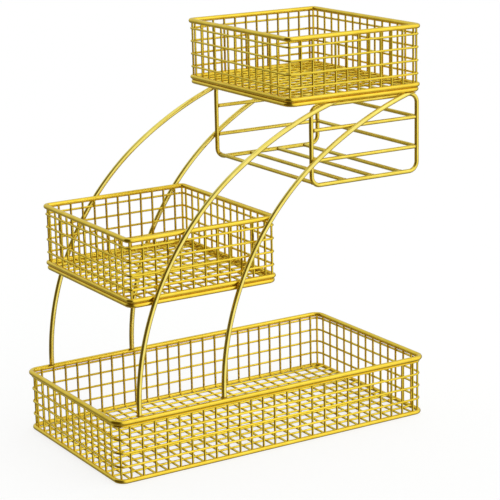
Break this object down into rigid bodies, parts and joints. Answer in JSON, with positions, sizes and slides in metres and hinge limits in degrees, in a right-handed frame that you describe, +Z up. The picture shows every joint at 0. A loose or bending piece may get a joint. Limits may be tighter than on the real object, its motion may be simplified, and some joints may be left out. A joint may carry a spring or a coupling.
{
  "type": "tiered fruit basket stand",
  "caption": "Tiered fruit basket stand of gold-coloured wire: open mesh baskets stepped up on bent rods, with a wire rack slung under the uppermost basket.",
  "frame": {"origin": "middle of the bottom basket's footprint, on the ground", "axes": "+Z up, +X along the long basket towards the end that the top basket overhangs, front towards -Y"},
  "size_m": [0.3824, 0.2128, 0.4301],
  "materials": {
    "ring_gilt": "polished gold-coloured plating on the thick rings of the baskets",
    "mesh_gilt": "polished gold-coloured plating on the thin mesh wire",
    "rod_gilt": "polished pale gold-coloured plating on the bent rods",
    "rack_gilt": "polished gold-coloured plating on the rack's wire"
  },
  "bodies": {
    "root": {"back_left_rod": "rod_gilt", "back_right_rod": "rod_gilt", "bottom_back_wall": "mesh_gilt", "bottom_base_ring": "ring_gilt", "bottom_floor_cross_wires": "mesh_gilt", "bottom_floor_long_wires": "mesh_gilt", "bottom_front_wall": "mesh_gilt", "bottom_hoop_1": "mesh_gilt", "bottom_hoop_2": "mesh_gilt", "bottom_hoop_3": "mesh_gilt", "bottom_left_wall": "mesh_gilt", "bottom_right_wall": "mesh_gilt", "bottom_rim": "ring_gilt", "front_left_rod": "rod_gilt", "front_right_rod": "rod_gilt", "middle_back_wall": "mesh_gilt", "middle_base_ring": "ring_gilt", "middle_floor_cross_wires": "mesh_gilt", "middle_floor_long_wires": "mesh_gilt", "middle_front_wall": "mesh_gilt", "middle_hoop_1": "mesh_gilt", "middle_hoop_2": "mesh_gilt", "middle_hoop_3": "mesh_gilt", "middle_left_wall": "mesh_gilt", "middle_right_wall": "mesh_gilt", "middle_rim": "ring_gilt", "middle_support_ring": "ring_gilt", "rack_back_frame": "rack_gilt", "rack_back_lower_rail": "rack_gilt", "rack_back_upper_rail": "rack_gilt", "rack_front_frame": "rack_gilt", "rack_front_lower_rail": "rack_gilt", "rack_front_upper_rail": "rack_gilt", "rack_right_lower_rail": "rack_gilt", "rack_right_upper_rail": "rack_gilt", "rack_slat_1": "rack_gilt", "rack_slat_2": "rack_gilt", "rack_slat_3": "rack_gilt", "rack_slat_4": "rack_gilt", "top_back_wall": "mesh_gilt", "top_base_ring": "ring_gilt", "top_floor_cross_wires": "mesh_gilt", "top_floor_long_wires": "mesh_gilt", "top_front_wall": "mesh_gilt", "top_hoop_1": "mesh_gilt", "top_hoop_2": "mesh_gilt", "top_hoop_3": "mesh_gilt", "top_left_wall": "mesh_gilt", "top_right_wall": "mesh_gilt", "top_rim": "ring_gilt", "top_support_ring": "ring_gilt"}
  },
  "joints": []
}
